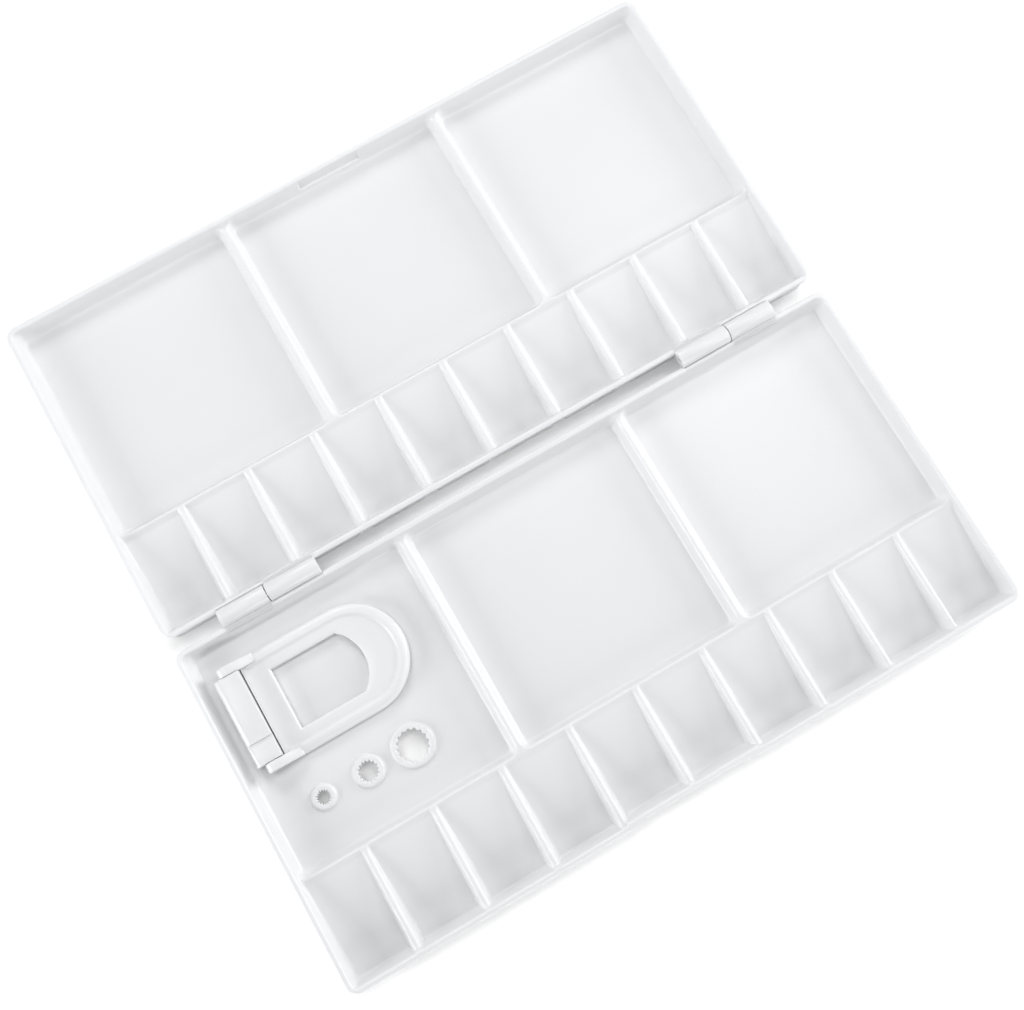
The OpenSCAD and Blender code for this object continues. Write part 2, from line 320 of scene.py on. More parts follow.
def prism_along_x(outline, start, end, bevel):
    """Bevelled solid with a (y, z) outline, from one x to another."""
    loops = [[(level, y, z) for y, z in outline] for level in (start, end)]
    return bevelled_loft(loops, bevel, sharp_deg=25)


def prism_along_y(outline, start, end, bevel):
    """Bevelled solid with an (x, z) outline, from one y to another."""
    loops = [[(x, level, z) for x, z in outline] for level in (start, end)]
    return bevelled_loft(loops, bevel, sharp_deg=25)


def turn_point(centre, axis, along, radius, angle):
    u = radius * math.cos(angle)
    v = radius * math.sin(angle)
    offset = {"x": (along, u, v), "y": (v, along, u)}[axis]
    return tuple(c + o for c, o in zip(centre, offset))


def lathe(profile, centre, axis, steps=64):
    """Closed solid turned from (along, radius) points; an end with radius 0 is closed with a fan."""
    verts, faces, rings = [], [], []
    for along, radius in profile:
        if radius <= 0:
            rings.append([len(verts)] * steps)
            verts.append(turn_point(centre, axis, along, 0, 0))
            continue
        rings.append(list(range(len(verts), len(verts) + steps)))
        for i in range(steps):
            verts.append(turn_point(centre, axis, along, radius, 2 * math.pi * i / steps))
    pairs = list(zip(rings, rings[1:]))
    if profile[0][1] > 0:
        pairs.append((rings[-1], rings[0]))
    for a, b in pairs:
        for i in range(steps):
            j = (i + 1) % steps
            face = [a[i], a[j], b[j], b[i]]
            face = [v for n, v in enumerate(face) if v not in face[:n]]
            if len(face) > 2:
                faces.append(face)
    return verts, faces


# ---- depth of the trays' surfaces ----

def wall_height(x, y, sides, slopes, radius):
    """Depth of a pocket's four sloping walls below their top edges, with rounded plan corners.

    sides is (left, right, near, far) of the top edge; slopes the drop per millimetre of each wall.
    """
    left, right, near, far = sides
    across = np.minimum((x - left) * slopes[0], (right - x) * slopes[1])
    along = np.minimum((y - near) * slopes[2], (far - y) * slopes[3])
    reach = radius * min(slopes)
    corner = reach - np.hypot(reach - across, reach - along)
    in_corner = (across < reach) & (along < reach)
    return np.where(in_corner, corner, np.minimum(across, along))


def near_wall_edge(x, lid):
    """Where the wall beside the wells starts; the lower tray's catch rail brings it in."""
    rail = 0 if lid else CATCH_IN
    return RIM_W + rail * inside_band(x, CATCH_HALF)


def rim_walls(x, y, lid):
    """Depth of the walls from the rim to the divider tops."""
    sides = (-END_EDGE, END_EDGE, near_wall_edge(x, lid), FAR_EDGE)
    return wall_height(x, y, sides, [WALL_SLOPE] * 4, CORNER_R - RIM_W)


def pocket_ends(i, count, divider_half, below):
    """Left and right top edge of pocket i of a row; on the underside the row's ends have no wall."""
    pitch = 2 * HALF_LEN / count
    left = i * pitch - HALF_LEN + divider_half
    right = (i + 1) * pitch - HALF_LEN - divider_half
    if i == 0:
        left = -BEYOND if below else LIP - END_EDGE
    if i == count - 1:
        right = BEYOND if below else END_EDGE - LIP
    return left, right


def mixing_pocket(x, y, i, below, grow):
    """Depth of a mixing area below the divider tops."""
    left, right = pocket_ends(i, MIX_COUNT, MIX_DIVIDER_HALF, below)
    near = WELL_ROW + RIDGE_HALF
    far = BEYOND if below else FAR_EDGE - LIP
    walls = wall_height(
        x, y,
        (left - grow, right + grow, near - grow, far + grow),
        (MIX_SLOPE, MIX_SLOPE, MIX_SLOPE, WALL_SLOPE),
        MIX_CORNER_R,
    )
    floor = np.full(x.shape, MIX_DEPTH - DIVIDER_DROP)
    return smooth_min(walls, floor, FOOT_BLEND)


def well_floor(x, y, centre):
    """Depth of a well's floor below the dividers: a ramp, dished across its width."""
    run = np.clip((WELL_ROW - RIDGE_HALF - y) / (WELL_ROW - RIM_W), 0, 1)
    across = np.clip((x - centre) * 2 * WELL_COUNT / (2 * HALF_LEN), -1, 1)
    dish = WELL_DISH * run ** 0.5 * (1 - across ** 2)
    return WELL_SHALLOW + (WELL_DEEP - WELL_DISH - WELL_SHALLOW) * run ** 0.9 + dish


def well_pocket(x, y, i, lid, below, grow):
    """Depth of a well below the divider tops."""
    left, right = pocket_ends(i, WELL_COUNT, WELL_DIVIDER_HALF, below)
    edge = near_wall_edge(x, lid)
    near_slope = (DIVIDER_DROP + WELL_DEEP) / (RIM_W + NEAR_WALL_RUN - edge)
    near = -BEYOND if below else edge + DIVIDER_DROP / near_slope
    walls = wall_height(
        x, y,
        (left - grow, right + grow, near, WELL_ROW - RIDGE_HALF + grow),
        (WELL_SLOPE, WELL_SLOPE, WELL_SLOPE, RIDGE_SLOPE),
        WELL_CORNER_R,
    )
    centre = (i + 0.5) * 2 * HALF_LEN / WELL_COUNT - HALF_LEN
    return smooth_min(walls, well_floor(x, y, centre), WELL_FOOT_BLEND)


def catch_recess(x, y):
    """Depth below the rim of the recess in the lid's far wall."""
    wall = np.minimum((FAR_EDGE + 0.1 - y) * RECESS_SLOPE, RECESS_DEEP)
    in_recess = (np.abs(x) < RECESS_HALF) & (y > FAR_EDGE - RECESS_REACH)
    return np.where(in_recess, wall, -1)


def tray_depth(x, y, lid, below):
    """Depth below the rim of a tray's upper surface, or of its underside when below is set."""
    grow = UNDER_GROW if below else 0.0
    depth = np.full(x.shape, DIVIDER_DROP)
    if not below:
        depth = smooth_min(rim_walls(x, y, lid), depth, EDGE_BLEND)
    for i in range(MIX_COUNT):
        pocket = mixing_pocket(x, y, i, below, grow)
        depth = smooth_max(depth, DIVIDER_DROP + pocket, DIVIDER_BLEND)
    for i in range(WELL_COUNT):
        pocket = well_pocket(x, y, i, lid, below, grow)
        depth = smooth_max(depth, DIVIDER_DROP + pocket, DIVIDER_BLEND)
    if below:
        return depth + SHELL_T
    if lid:
        depth = smooth_max(depth, catch_recess(x, y), EDGE_BLEND)
    return smooth_max(depth, np.zeros(x.shape), EDGE_BLEND)


# ---- the trays' grid ----

def divider_centres(count):
    return [i * 2 * HALF_LEN / count - HALF_LEN for i in range(1, count)]


def around(centres, offsets):
    return [c + sign * o for c in centres for o in offsets for sign in (-1, 1)]


def spaced_lines(low, high, marks):
    """Grid lines: every mark, with wide gaps filled evenly and near-duplicates dropped."""
    lines = [low]
    for mark in sorted(m for m in marks if low < m < high) + [high]:
        gap = mark - lines[-1]
        if gap < CLOSEST and mark != high:
            continue
        parts = max(1, math.ceil(gap / COARSE))
        start = lines[-1]
        lines.extend(start + gap * n / parts for n in range(1, parts + 1))
    return np.array(lines)


def hole_span(x, r):
    """Where the grid window of a brush hole starts and ends along the tray."""
    return x - r - HOLE_MARGIN, x + r + HOLE_MARGIN


def tray_lines(lid):
    """The u and v lines of a tray's grid, dense where the surface bends."""
    dividers = divider_centres(WELL_COUNT) + divider_centres(MIX_COUNT)
    steps = BASE_KNUCKLE + (RECESS_HALF,) if lid else LID_KNUCKLE + (NOTCH_HALF, CATCH_HALF)
    u_marks = around(dividers, DIVIDER_LINES) + around(both_signs(steps), STEP_LINES)
    u_marks += both_signs([HALF_LEN - e for e in EDGE_LINES])
    v_marks = EDGE_LINES + [TRAY_DEP - e for e in EDGE_LINES] + around([WELL_ROW], RIDGE_LINES)
    if not lid:
        row = BRUSH_ROW + HINGE_GAP / 2 + TRAY_DEP
        v_marks += [row - HOLE_ROW_HALF, row + HOLE_ROW_HALF]
        for x, r in BRUSH_HOLES:
            u_marks += hole_span(x, r)
    return spaced_lines(-HALF_LEN, HALF_LEN, u_marks), spaced_lines(0.0, TRAY_DEP, v_marks)


def follow_feet(u, v, below):
    """Shift grid lines beside the well dividers so that they run along the feet of the walls."""
    pitch = 2 * HALF_LEN / WELL_COUNT
    centre = np.clip(np.round((u + HALF_LEN) / pitch), 0, WELL_COUNT) * pitch - HALF_LEN
    end = np.abs(centre) > HALF_LEN - 1
    top = np.where(end, RIM_W, WELL_DIVIDER_HALF)
    depth = well_floor(u, np.clip(v, RIM_W, WELL_ROW - RIDGE_HALF), centre + pitch)
    depth = depth + np.where(end, DIVIDER_DROP, 0)
    slope = np.where(end, WALL_SLOPE, WELL_SLOPE)
    foot = top + depth / slope - (UNDER_GROW if below else 0)
    foot = np.maximum(foot, 0.3)
    drawn = top + FOOT_LINE
    outer = top + FOOT_REACH
    offset = np.abs(u - centre)
    if below:
        inner = offset * foot / drawn
    else:
        inner = np.where(offset < top, offset, top + (offset - top) * (foot - top) / FOOT_LINE)
    beyond = foot + (offset - drawn) * (outer - foot) / (FOOT_REACH - FOOT_LINE)
    moved = np.where(offset < drawn, inner, np.where(offset < outer, beyond, offset))
    share = 1 - smooth_step(v, WELL_ROW + 1, WELL_ROW + 5)
    return u + np.sign(u - centre) * (moved - offset) * share


def place(u, v, inset, radius):
    """Plan position of a grid point on an outline inset from the rim, with rounded corners."""
    squeeze = 9.0
    edge_u = HALF_LEN - np.abs(u)
    edge_v = np.minimum(v, TRAY_DEP - v)
    edge_u = np.where(edge_u < squeeze, inset + edge_u * (squeeze - inset) / squeeze, edge_u)
    edge_v = np.where(edge_v < squeeze, inset + edge_v * (squeeze - inset) / squeeze, edge_v)
    a = 1 - (edge_u - inset) / radius
    b = 1 - (edge_v - inset) / radius
    corner = (a > 0) & (b > 0)
    biggest = np.maximum(np.maximum(a, b), 1e-9)
    angle = np.where(a >= b, b, 2 * biggest - a) / biggest * math.pi / 4
    edge_u = np.where(corner, inset + radius * (1 - biggest * np.cos(angle)), edge_u)
    edge_v = np.where(corner, inset + radius * (1 - biggest * np.sin(angle)), edge_v)
    x = np.where(u >= 0, HALF_LEN - edge_u, edge_u - HALF_LEN)
    y = np.where(v < TRAY_DEP / 2, edge_v, TRAY_DEP - edge_v)
    return x, y


def edge_share(v, reach):
    """1 at the near and far edges, falling to 0 at a distance from them."""
    return np.clip(1 - np.minimum(v, TRAY_DEP - v) / reach, 0, 1)


def flange_shift(x, v, lid, share):
    """How far the flange's edge moves in along y: the finger notch and the room for knuckles."""
    if lid:
        near = KNUCKLE_ROOM * between(x, BASE_KNUCKLE[0] - 0.5, BASE_KNUCKLE[1] + 0.3)
        far = np.zeros(x.shape)
    else:
        near = FLANGE_OUT * inside_band(x, NOTCH_HALF)
        far = KNUCKLE_ROOM * between(x, LID_KNUCKLE[0] - 0.3, LID_KNUCKLE[1] + 0.5)
    return share * np.where(v < TRAY_DEP / 2, near, -far)


def groove_shift(x, v):
    """How far the outer wall of the wells steps in, outside each divider."""
    pitch = 2 * HALF_LEN / WELL_COUNT
    from_middle = np.abs((x + HALF_LEN) % pitch - pitch / 2)
    start = pitch / 2 - GROOVE_HALF
    at_divider = smooth_step(from_middle, start - GROOVE_SOFT, start + GROOVE_SOFT)
    at_ends = smooth_step(np.abs(x), HALF_LEN - pitch / 2, HALF_LEN - pitch / 2 + 1)
    return np.where(v < TRAY_DEP / 2, GROOVE_IN * at_divider * (1 - at_ends), 0.0)


def top_points(u, v, lid, front):
    """Points of a tray's upper surface, rounded over at the outer edge."""
    x, y = place(follow_feet(u, v, False), v, 0.0, CORNER_R)
    out = np.minimum(HALF_LEN - np.abs(u), np.minimum(v, TRAY_DEP - v))
    past = np.clip(RIM_ROUND - out, 0, None)
    rounding = RIM_ROUND - np.sqrt(np.clip(RIM_ROUND ** 2 - past ** 2, 0, None))
    depth = tray_depth(x, y, lid, below=False) + np.where(out < RIM_ROUND, rounding, 0)
    y = y + flange_shift(x, v, lid, edge_share(v, FLANGE_FADE))
    return np.stack([x, y + front, RIM_H - depth], -1).reshape(-1, 3)


def under_points(u, v, lid, front):
    """Points of a tray's underside."""
    x, y = place(follow_feet(u, v, True), v, UNDER_IN, UNDER_CORNER_R)
    depth = np.minimum(tray_depth(x, y, lid, below=True), RIM_H - UNDER_LOWEST)
    y = y + groove_shift(x, v) * edge_share(v, UNDER_FADE)
    return np.stack([x, y + front, RIM_H - depth], -1).reshape(-1, 3)


def boundary(nx, ny):
    """Indices of a grid's edge points, anticlockwise from above."""
    low = [(i, 0) for i in range(nx - 1)]
    right = [(nx - 1, j) for j in range(ny - 1)]
    high = [(i, ny - 1) for i in range(nx - 1, 0, -1)]
    left = [(0, j) for j in range(ny - 1, 0, -1)]
    return low + right + high + left


# A tray's outer side from the rim to the foot: inset, depth below the rim, share of flange_shift().
SKIRT = [
    (0.0, FLANGE_H - 0.35, 1.0),
    (0.08, FLANGE_H - 0.1, 0.9),
    (0.35, FLANGE_H, 0.6),
    (0.8, FLANGE_H, 0.15),
    (0.97, FLANGE_H + 0.25, 0.0),
    (FLANGE_OUT, RIM_H - 4.0, 0.0),
    (1.05, RIM_H - 0.4, 0.0),
    (1.15, RIM_H - 0.1, 0.0),
    (1.4, RIM_H, 0.0),
    (2.1, RIM_H, 0.0),
    (2.32, RIM_H - 0.1, 0.0),
    (UNDER_IN, RIM_H - 0.4, 0.0),
]


def skirt_loops(edge_u, edge_v, lid, front):
    """Loops of points round a tray, from its rim down the outer wall to the foot."""
    loops = []
    for inset, depth, share in SKIRT:
        x, y = place(edge_u, edge_v, inset, max(CORNER_R - inset, UNDER_CORNER_R))
        y = y + flange_shift(x, edge_v, lid, share)
        if depth > FLANGE_H + 0.1:
            y = y + groove_shift(x, edge_v)
        loops.append(np.stack([x, y + front, np.full(x.shape, RIM_H - depth)], -1))
    return loops


def grid_faces(nx, ny, under, windows):
    """Faces of the upper surface and the underside, leaving out the windows of the brush holes."""
    cut = set()
    for i0, i1, j0, j1, *_ in windows:
        cut |= {(i, j) for i in range(i0, i1) for j in range(j0, j1)}
    faces = []
    for i in range(nx - 1):
        for j in range(ny - 1):
            if (i, j) in cut:
                continue
            quad = [i * ny + j, (i + 1) * ny + j, (i + 1) * ny + j + 1, i * ny + j + 1]
            faces.append(quad)
            faces.append([under + k for k in reversed(quad)])
    return faces


def drop_unused(verts, faces):
    used = sorted({v for face in faces for v in face})
    renumber = {old: new for new, old in enumerate(used)}
    return [verts[v] for v in used], [[renumber[v] for v in face] for face in faces]


def tray_shell(lid, front):
    """One moulded tray as a closed thin shell; front is the y of its edge beside the wells."""
    us, vs = tray_lines(lid)
    nx, ny = len(us), len(vs)
    u, v = np.meshgrid(us, vs, indexing="ij")
    verts = [tuple(p) for p in top_points(u, v, lid, front)]
    under = len(verts)
    verts += [tuple(p) for p in under_points(u, v, lid, front)]
    windows = [] if lid else hole_windows(us, vs, front)
    faces = grid_faces(nx, ny, under, windows)

    edge = boundary(nx, ny)
    edge_u = np.array([us[i] for i, _ in edge])
    edge_v = np.array([vs[j] for _, j in edge])
    previous = [i * ny + j for i, j in edge]
    for loop in skirt_loops(edge_u, edge_v, lid, front):
        current = list(range(len(verts), len(verts) + len(loop)))
        verts += [tuple(p) for p in loop]
        faces += loop_quads(current, previous)
        previous = current
    faces += loop_quads([under + i * ny + j for i, j in edge], previous)

    for window in windows:
        add_brush_hole(verts, faces, window, ny, under, front)
    return drop_unused(verts, faces)


# ---- brush holes ----

def nearest_line(lines, value):
    return int(np.argmin(np.abs(lines - value)))


def hole_windows(us, vs, front):
    """Grid windows that are cut out for the brush holes: index ranges, centre and radius."""
    row = BRUSH_ROW - front
    j0 = nearest_line(vs, row - HOLE_ROW_HALF)
    j1 = nearest_line(vs, row + HOLE_ROW_HALF)
    windows = []
    for x, r in BRUSH_HOLES:
        start, end = hole_span(x, r)
        windows.append((nearest_line(us, start), nearest_line(us, end), j0, j1, x, row, r))
    return windows


def tooth_radius(r, angle):
    """Radius of a toothed hole: rounded teeth point inwards."""
    wave = TOOTH_FLANK * math.cos(TOOTH_COUNT * angle)
    return r - TOOTH_IN * (0.5 + 0.5 * max(-1.0, min(1.0, wave)))


def brush_hole_rings(floor_depth):
    """Rings from the floor over the collar and down the hole.

    Each is (radius beyond the hole, depth below the rim, how much of the teeth it follows).
    """
    top = floor_depth - COLLAR_H
    bottom = floor_depth + SHELL_T
    return [
        (COLLAR_W + 0.75, floor_depth, 0),
        (COLLAR_W + 0.35, floor_depth - 0.05, 0),
        (COLLAR_W + 0.1, floor_depth - 0.3, 0),
        (COLLAR_W - 0.05, top + 0.25, 0),
        (COLLAR_W - 0.3, top + 0.03, 0),
        (COLLAR_W - 0.6, top, 0.1),
        (0.35, top, 0.9),
        (0.12, top + 0.06, 1),
        (0.0, top + 0.25, 1),
        (0.0, bottom - 0.25, 1),
        (0.2, bottom, 1),
        (1.2, bottom, 0.3),
    ]


def zipper(outer, inner, angle_outer, angle_inner):
    """Triangles between two closed loops that run the same way round one centre."""
    faces, i, j = [], 0, 0
    count_outer, count_inner = len(outer), len(inner)
    while i < count_outer or j < count_inner:
        next_outer = angle_outer[i + 1] if i < count_outer else math.inf
        next_inner = angle_inner[j + 1] if j < count_inner else math.inf
        a, b = outer[i % count_outer], inner[j % count_inner]
        if next_outer <= next_inner:
            faces.append([a, outer[(i + 1) % count_outer], b])
            i += 1
        else:
            faces.append([a, inner[(j + 1) % count_inner], b])
            j += 1
    return faces


def start_at_zero(loop, points, centre):
    """Rotate a loop so that its polar angle about a centre starts lowest; returns loop and angles."""
    angles = [math.atan2(p[1] - centre[1], p[0] - centre[0]) % (2 * math.pi) for p in points]
    first = int(np.argmin(angles))
    loop = loop[first:] + loop[:first]
    angles = angles[first:] + angles[:first]
    return loop, angles + [angles[0] + 2 * math.pi]


def add_brush_hole(verts, faces, window, ny, under, front):
    """Fill a cut-out window with a collar and a toothed hole, and join it to the underside."""
    i0, i1, j0, j1, cx, row, r = window
    cy = row + front
    edge = [(i, j0) for i in range(i0, i1)] + [(i1, j) for j in range(j0, j1)]
    edge += [(i, j1) for i in range(i1, i0, -1)] + [(i0, j) for j in range(j1, j0, -1)]
    steps = TOOTH_COUNT * 8
    angles = [2 * math.pi * k / steps for k in range(steps)]
    rings = []
    for beyond, depth, toothed in brush_hole_rings(MIX_DEPTH):
        rings.append(list(range(len(verts), len(verts) + steps)))
        for angle in angles:
            radius = (1 - toothed) * r + toothed * tooth_radius(r, angle) + beyond
            x = cx + radius * math.cos(angle)
            y = cy + radius * math.sin(angle)
            verts.append((x, y, RIM_H - depth))
    for upper, lower in zip(rings, rings[1:]):
        faces += loop_quads(upper, lower)
    for offset, ring, flip in ((0, rings[0], False), (under, rings[-1], True)):
        loop = [offset + i * ny + j for i, j in edge]
        loop, loop_angles = start_at_zero(loop, [verts[k] for k in loop], (cx, cy))
        joined = zipper(loop, ring, loop_angles, angles + [2 * math.pi])
        faces += [face[::-1] for face in joined] if flip else joined


# ---- hinges between the trays ----

def knuckle_profile(length, open_inner):
    """Lathe profile of a knuckle: a tube, or a cup with a blind outer end."""
    bore = PIN_R + PIN_PLAY
    cut = 0.04
    outside = [
        (0.0, bore),
        (0.0, KNUCKLE_R - KNUCKLE_SOFT),
        (cut, KNUCKLE_R - cut),
        (KNUCKLE_SOFT, KNUCKLE_R),
        (length - KNUCKLE_SOFT, KNUCKLE_R),
        (length - cut, KNUCKLE_R - cut),
        (length, KNUCKLE_R - KNUCKLE_SOFT),
    ]
    if open_inner:
        return outside + [(length, bore)]
    blind = length - KNUCKLE_BLIND
    return [(blind, 0.0), (blind, bore)] + outside + [(length, 0.0)]


def knuckle_parts(lid):
    """Both knuckles of one tray, each with the leaf that joins it to the tray's wall."""
    start, end = LID_KNUCKLE if lid else BASE_KNUCKLE
    profile = knuckle_profile(end - start, open_inner=lid)
    leaf = HINGE_GAP / 2 + FLANGE_OUT + SHELL_T
    near, far = (LEAF_START, leaf) if lid else (-leaf, -LEAF_START)
    low, high = RIM_H - KNUCKLE_R + 0.15, RIM_H - 0.1
    outline = [(near, low), (far, low), (far, high), (near, high)]
    parts = []
    for mirror in (1, -1):
        turned = [(mirror * along, radius) for along, radius in profile]
        parts.append(lathe(turned, (mirror * start, 0.0, RIM_H), "x"))
        first, last = sorted((mirror * (start + 0.15), mirror * (end - 0.15)))
        parts.append(prism_along_x(outline, first, last, LEAF_BEVEL))
    return parts


def build_tray(name, lid, body, node):
    front = HINGE_GAP / 2 if lid else -HINGE_GAP / 2 - TRAY_DEP
    shell = merge([tray_shell(lid, front)] + knuckle_parts(lid))
    return finished_piece(name, shell, body, node, sharp_deg=60)


def build_pin(name, node, axis):
    """Steel pin with chamfered ends, the size of the CAD pin."""
    low, high = box_mm(node)
    along = "xyz".index(axis)
    centre = (low + high) / 2
    half = (high[along] - low[along]) / 2
    profile = [
        (-half, 0.0),
        (-half, PIN_R - PIN_SOFT),
        (PIN_SOFT - half, PIN_R),
        (half - PIN_SOFT, PIN_R),
        (half, PIN_R - PIN_SOFT),
        (half, 0.0),
    ]
    shell = lathe(profile, tuple(centre), axis, steps=32)
    return finished_piece(name, shell, "base", node, sharp_deg=30)


# ---- the thumb ring and its bar ----

def spread(start, end, count, ends_dense=False):
    """Points on a straight line, without its end."""
    t = np.linspace(0, 1, count + 1)[:-1]
    if ends_dense:
        t = 0.5 - 0.5 * np.cos(math.pi * t)
    return [tuple(np.array(start) * (1 - k) + np.array(end) * k) for k in t]


def arc(centre, radius, start, end, count):
    """Points on an arc about a centre on the x axis, without its end."""
    angles = np.linspace(start, end, count + 1)[:-1]
    return [(centre + radius * math.cos(a), radius * math.sin(a)) for a in angles]


def ring_loop(inset, heel=0.0):
    """Outline of the ring plate, inset from its edge; heel moves its hinge side towards the bar."""
    half = RING_R - RING_PLAY - inset
    start = RING_START + inset - heel
    loop = spread((start, -half), (RING_END_CENTRE, -half), SIDE_POINTS)
    loop += arc(RING_END_CENTRE, half, -math.pi / 2, math.pi / 2, ARC_POINTS)
    loop += spread((RING_END_CENTRE, half), (start, half), SIDE_POINTS)
    loop += spread((start, half), (start, -half), START_POINTS, ends_dense=True)
    return loop


def thumb_loop(flare):
    """Outline of the thumb opening, widened by a flare."""
    half = THUMB_HALF + flare
    start = THUMB_START - flare
    corner = THUMB_START + THUMB_STRAIGHT + flare * 0.4
    bulge = THUMB_BULGE + flare * 0.5
    radius = (half ** 2 + bulge ** 2) / (2 * bulge)
    centre = corner + bulge - radius
    swing = math.asin(half / radius)
    loop = spread((start, -half), (corner, -half), SIDE_POINTS)
    loop += arc(centre, radius, -swing, swing, ARC_POINTS)
    loop += spread((corner, half), (start, half), SIDE_POINTS)
    loop += spread((start, half), (start, -half), START_POINTS, ends_dense=True)
    return loop


def ring_top(x, y):
    """Height of the ring's upper face above its underside: a rounded band, then the flat web."""
    from_end = RING_R - np.hypot(x - RING_END_CENTRE, y)
    edge = np.where(x < RING_END_CENTRE, RING_R - np.abs(y), from_end)
    outside = np.clip(1 - edge / BAND_OUTER, 0, 1)
    rounded = BAND_EDGE + (BAND_T - BAND_EDGE) * np.sqrt(1 - outside ** 2)
    flat = smooth_step(edge, BAND_W - BAND_INNER, BAND_W + 0.2)
    flat = np.maximum(flat, 1 - smooth_step(x, BAND_FROM, BAND_FROM + BAND_RISE))
    return rounded * (1 - flat) + WEB_T * flat


def on_ring_top(points):
    """Lift plan points onto the ring's upper face."""
    top = ring_top(points[:, 0], points[:, 1])
    return [(x, y, WEB_Z + z) for (x, y), z in zip(points, top)]


# Edge of the thumb opening from top to bottom: flare, height above the ring's underside.
THUMB_EDGE = [
    (0.3, WEB_T - 0.1),
    (0.1, WEB_T - 0.3),
    (0.0, WEB_T - 0.6),
    (0.0, 0.3),
    (0.12, 0.05),
    (0.3, 0.0),
]


def ring_plate():
    """The ring's plate with its band and thumb opening, as one closed solid of nested loops."""
    loops = [[(x, y, WEB_Z + 0.35) for x, y in ring_loop(0.0, RING_HEEL)]]
    loops += [on_ring_top(np.array(ring_loop(inset))) for inset in BAND_LOOPS]
    last = np.array(ring_loop(BAND_LOOPS[-1]))
    hole = np.array(thumb_loop(THUMB_FLARE))
    loops += [on_ring_top(last * (1 - share) + hole * share) for share in (0.35, 0.7, 1.0)]
    loops += [[(x, y, WEB_Z + level) for x, y in thumb_loop(flare)] for flare, level in THUMB_EDGE]
    loops.append([(x, y, WEB_Z) for x, y in ring_loop(0.35, RING_HEEL)])
    verts, faces, rings = [], [], []
    for loop in loops:
        rings.append(list(range(len(verts), len(verts) + len(loop))))
        verts += [(AXIS_X + x, RING_Y + y, z) for x, y, z in loop]
    for a, b in zip(rings, rings[1:] + rings[:1]):
        faces += loop_quads(a, b)
    return verts, faces


def arm_outline():
    """Side view of an arm, from the ring's band to its rounded end about the hinge axis."""
    points = [
        (AXIS_X + 10.5, WEB_Z + 0.3),
        (AXIS_X + 10.5, WEB_Z + BAND_T),
        (AXIS_X + 9.5, WEB_Z + BAND_T + 0.35),
        (AXIS_X + 3.0, AXIS_Z + ARM_R - 0.5),
    ]
    for degrees in range(90, 280, 20):
        angle = math.radians(degrees)
        points.append((AXIS_X + ARM_R * math.cos(angle), AXIS_Z + ARM_R * math.sin(angle)))
    points.append((AXIS_X + 5, WEB_Z + 0.1))
    return points


def build_thumb_ring():
    parts = [ring_plate()]
    for low in (RING_Y - RING_R, RING_Y + RING_R - ARM_T):
        parts.append(prism_along_y(arm_outline(), low, low + ARM_T, ARM_BEVEL))
    return finished_piece(
        "thumb_ring_moulding", merge(parts), "ring", "thumb_ring", sharp_deg=50,
    )


def bar_section():
    """Section of the hinge bar across its length: square towards the ring, round behind."""
    left, right = bar_low[0], AXIS_X + BAR_RIGHT
    floor, top = bar_low[2], bar_high[2]
    points = [(left, floor), (right, floor), (right, top)]
    for degrees in range(90, 181, 15):
        angle = math.radians(degrees)
        x = left + BAR_SHOULDER + BAR_SHOULDER * math.cos(angle)
        z = top - BAR_SHOULDER + BAR_SHOULDER * math.sin(angle)
        points.append((x, z))
    return points


def build_ring_bar():
    """Hinge bar with a stepped notch near its front end."""
    floor, top = bar_low[2], bar_high[2]
    cuts = [
        (bar_high[1], 0.0),
        (BAR_STEP_Y + 0.05, 0.0),
        (BAR_STEP_Y, BAR_STEP_DROP),
        (BAR_FOOT_Y, BAR_FOOT_DROP),
        (bar_low[1], BAR_FOOT_DROP),
    ]
    loops = []
    for y, drop in cuts:
        loops.append([(x, y, min(z, top - drop) if z > floor else z) for x, z in bar_section()])
    shell = bevelled_loft(loops, BAR_BEVEL, sharp_deg=30)
    return finished_piece("ring_hinge_block", shell, "base", "ring_bar", sharp_deg=40)


# ---- materials ----

def node_material(name):
    material = bpy.data.materials.new(name)
    material.use_nodes = True
    tree = material.node_tree
    return material, tree, tree.nodes["Principled BSDF"]


def add_noise(tree, scale, detail, source):
    noise = tree.nodes.new("ShaderNodeTexNoise")
    noise.inputs["Scale"].default_value = scale
    noise.inputs["Detail"].default_value = detail
    tree.links.new(source, noise.inputs["Vector"])
    return noise.outputs["Fac"]


def map_value(tree, value, low, high):
    """Stretch a noise value onto a range."""
    node = tree.nodes.new("ShaderNodeMapRange")
    node.inputs["From Min"].default_value = 0.15
    node.inputs["From Max"].default_value = 0.85
    node.inputs["To Min"].default_value = low
    node.inputs["To Max"].default_value = high
    tree.links.new(value, node.inputs["Value"])
    return node.outputs["Result"]


def colour_mix(tree, factor):
    """Colour mix node driven by a factor; input 6 is the first colour and 7 the second."""
    mix = tree.nodes.new("ShaderNodeMix")
    mix.data_type = "RGBA"
    tree.links.new(factor, mix.inputs[0])
    return mix


def cloudy_colour(tree, source, scale, first, second):
    """Colour that drifts between two tints."""
    noise = add_noise(tree, scale, 3, source)
    mix = colour_mix(tree, map_value(tree, noise, 0, 1))
    mix.inputs[6].default_value = (*first, 1)
    mix.inputs[7].default_value = (*second, 1)
    return mix.outputs[2]


def mapped_place(tree, shift, stretch):
    """Object coordinates, shifted and stretched."""
    place_node = tree.nodes.new("ShaderNodeTexCoord")
    mapping = tree.nodes.new("ShaderNodeMapping")
    mapping.inputs["Location"].default_value = shift
    mapping.inputs["Scale"].default_value = stretch
    tree.links.new(place_node.outputs["Object"], mapping.inputs["Vector"])
    return mapping.outputs["Vector"]


